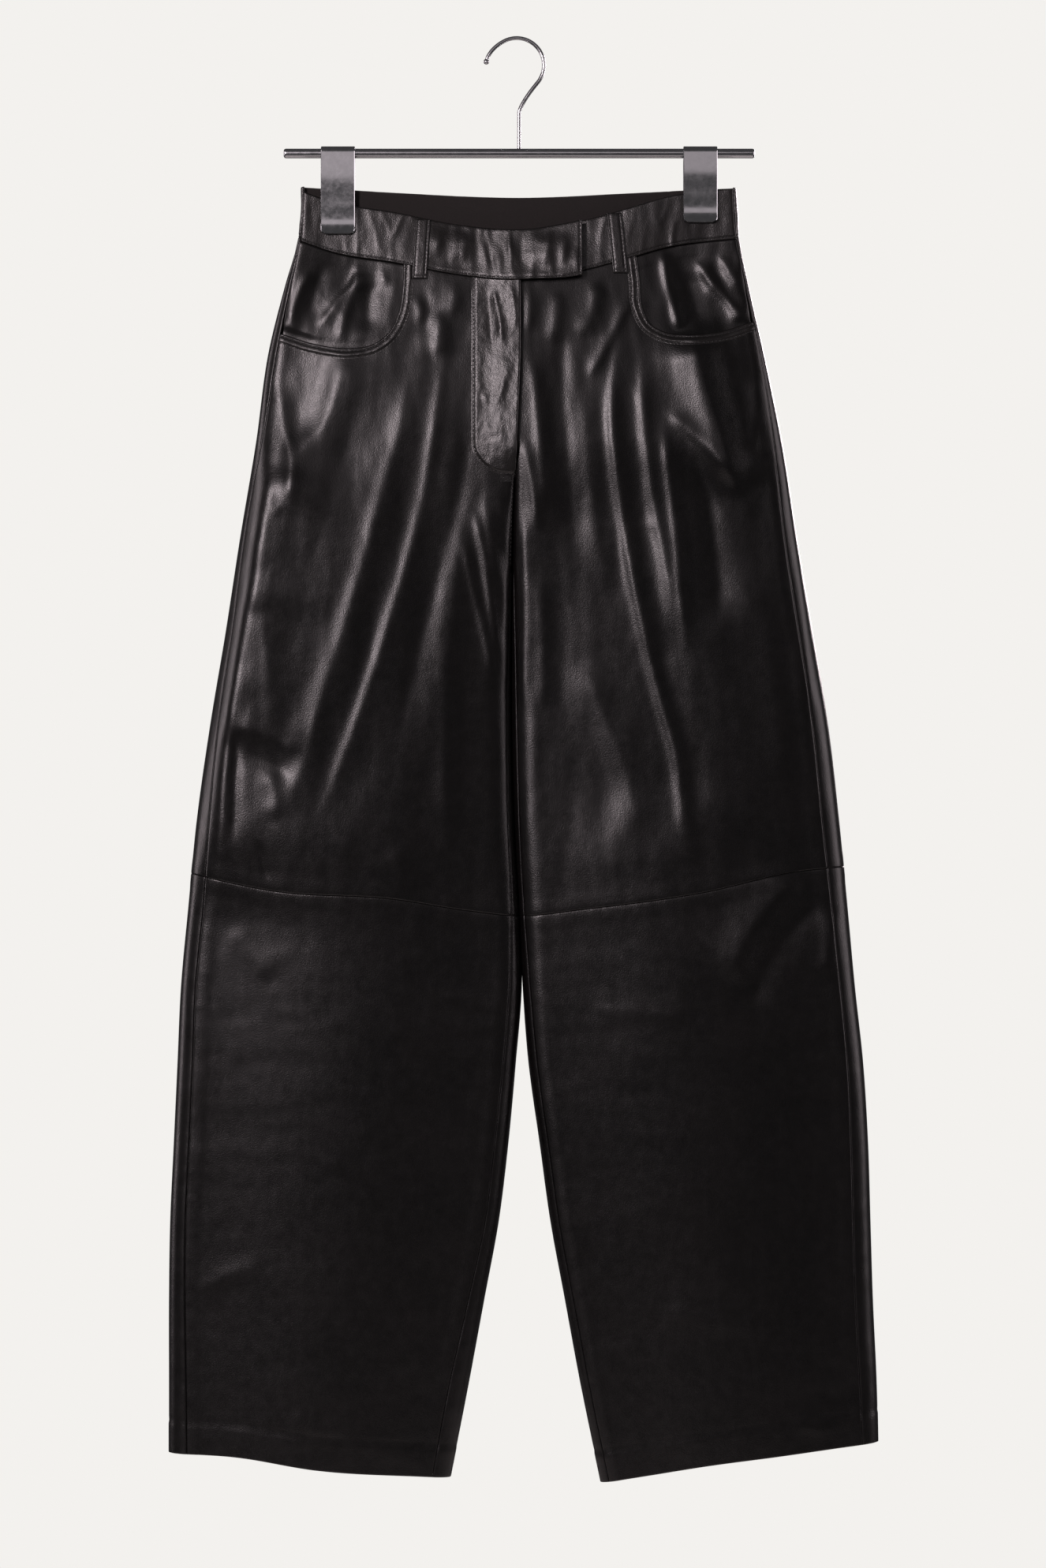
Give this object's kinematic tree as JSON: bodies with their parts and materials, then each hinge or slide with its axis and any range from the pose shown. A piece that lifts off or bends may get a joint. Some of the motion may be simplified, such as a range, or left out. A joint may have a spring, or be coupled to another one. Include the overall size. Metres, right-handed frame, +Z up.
{
  "type": "leather trousers on a clip hanger",
  "caption": "Wide-leg leather trousers with a tabbed waistband, scoop pockets and knee seams, clipped flat to a wire-hook hanger.",
  "frame": {"origin": "inside top of the hanger hook's curve, where a rail carries it", "axes": "+Z up, along the length; -Y is the front of the trousers; +X is the wearer's left"},
  "size_m": [0.5873, 0.0579, 1.197],
  "materials": {
    "leather": "smooth semi-gloss black nappa",
    "chrome": "polished chromed steel"
  },
  "bodies": {
    "root": {"front_upper_right": "leather", "front_upper_left": "leather", "back_upper_right": "leather", "back_upper_left": "leather", "front_lower_right": "leather", "front_lower_left": "leather", "back_lower_right": "leather", "back_lower_left": "leather", "waistband_front_right": "leather", "waistband_front_left": "leather", "waistband_back": "leather", "fly": "leather", "pocket_facing_right": "leather", "pocket_facing_left": "leather", "pocket_edge_right": "leather", "pocket_edge_left": "leather", "belt_loop_1": "leather", "belt_loop_2": "leather", "belt_loop_3": "leather", "belt_loop_4": "leather", "belt_loop_5": "leather", "hanger_hook": "chrome", "hanger_bar": "chrome", "hanger_clip_right": "chrome", "hanger_clip_left": "chrome"}
  },
  "joints": []
}
